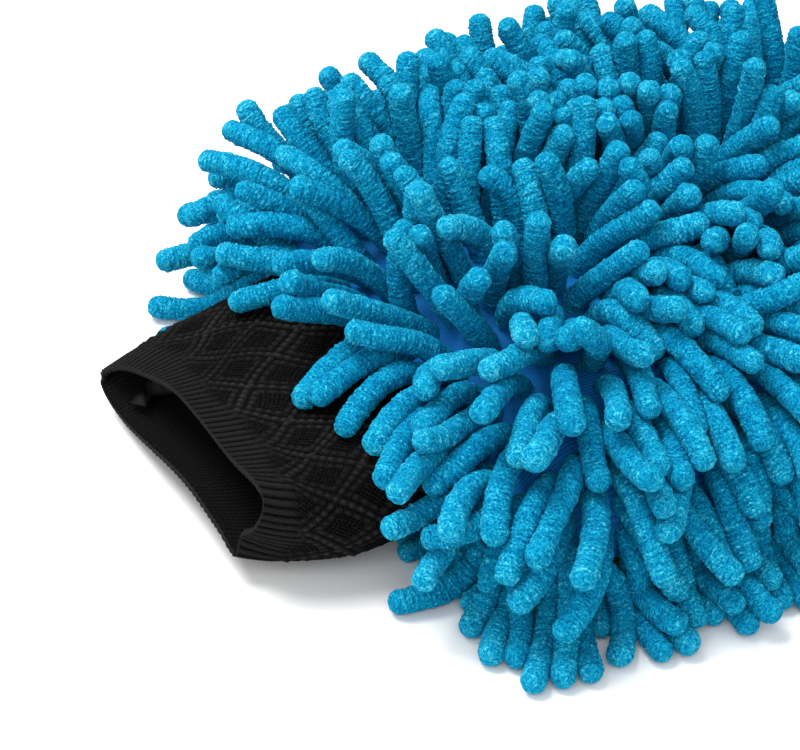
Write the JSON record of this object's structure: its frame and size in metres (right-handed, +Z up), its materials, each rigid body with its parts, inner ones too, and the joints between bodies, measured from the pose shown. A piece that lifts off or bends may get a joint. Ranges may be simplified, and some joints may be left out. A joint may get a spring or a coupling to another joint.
{
  "type": "wash mitt",
  "caption": "Blue chenille car wash mitt with long soft round-ended fingers and a black knitted elastic cuff, lying flat.",
  "frame": {"origin": "middle of the patch of ground the mitt covers, at ground level", "axes": "+X along the mitt from the cuff's mouth to the finger tip, +Y across it to the left, +Z up"},
  "size_m": [0.29, 0.236, 0.09],
  "materials": {
    "chenille_pile": "matte",
    "backing_knit": "matte",
    "lining_knit": "matte",
    "seam_thread": "matte",
    "cuff_knit": "matte",
    "elastic": "matte"
  },
  "bodies": {
    "mitt": {"lower_backing": "backing_knit", "lower_lining": "lining_knit", "upper_backing": "backing_knit", "upper_lining": "lining_knit", "edge_seam": "seam_thread", "cuff_join_seam": "seam_thread", "lower_row_01": "chenille_pile", "lower_row_02": "chenille_pile", "lower_row_03": "chenille_pile", "lower_row_04": "chenille_pile", "lower_row_05": "chenille_pile", "lower_row_06": "chenille_pile", "lower_row_07": "chenille_pile", "lower_row_08": "chenille_pile", "lower_row_09": "chenille_pile", "lower_row_10": "chenille_pile", "lower_row_11": "chenille_pile", "lower_row_12": "chenille_pile", "upper_row_01": "chenille_pile", "upper_row_02": "chenille_pile", "upper_row_03": "chenille_pile", "upper_row_04": "chenille_pile", "upper_row_05": "chenille_pile", "upper_row_06": "chenille_pile", "upper_row_07": "chenille_pile", "upper_row_08": "chenille_pile", "upper_row_09": "chenille_pile", "upper_row_10": "chenille_pile", "upper_row_11": "chenille_pile", "upper_row_12": "chenille_pile", "left_fringe": "chenille_pile", "right_fringe": "chenille_pile", "tip_fringe": "chenille_pile"},
    "cuff": {"cuff_outer": "cuff_knit", "cuff_hem": "cuff_knit", "cuff_inner": "cuff_knit", "cuff_elastic": "elastic", "cuff_side_seam": "cuff_knit"}
  },
  "joints": [
    {"name": "cuff_fold", "type": "hinge", "parent": "mitt", "child": "cuff", "pos_m": [-0.081, 0, 0.0452], "axis": [0, 1, 0], "range_deg": [0, 40]}
  ]
}
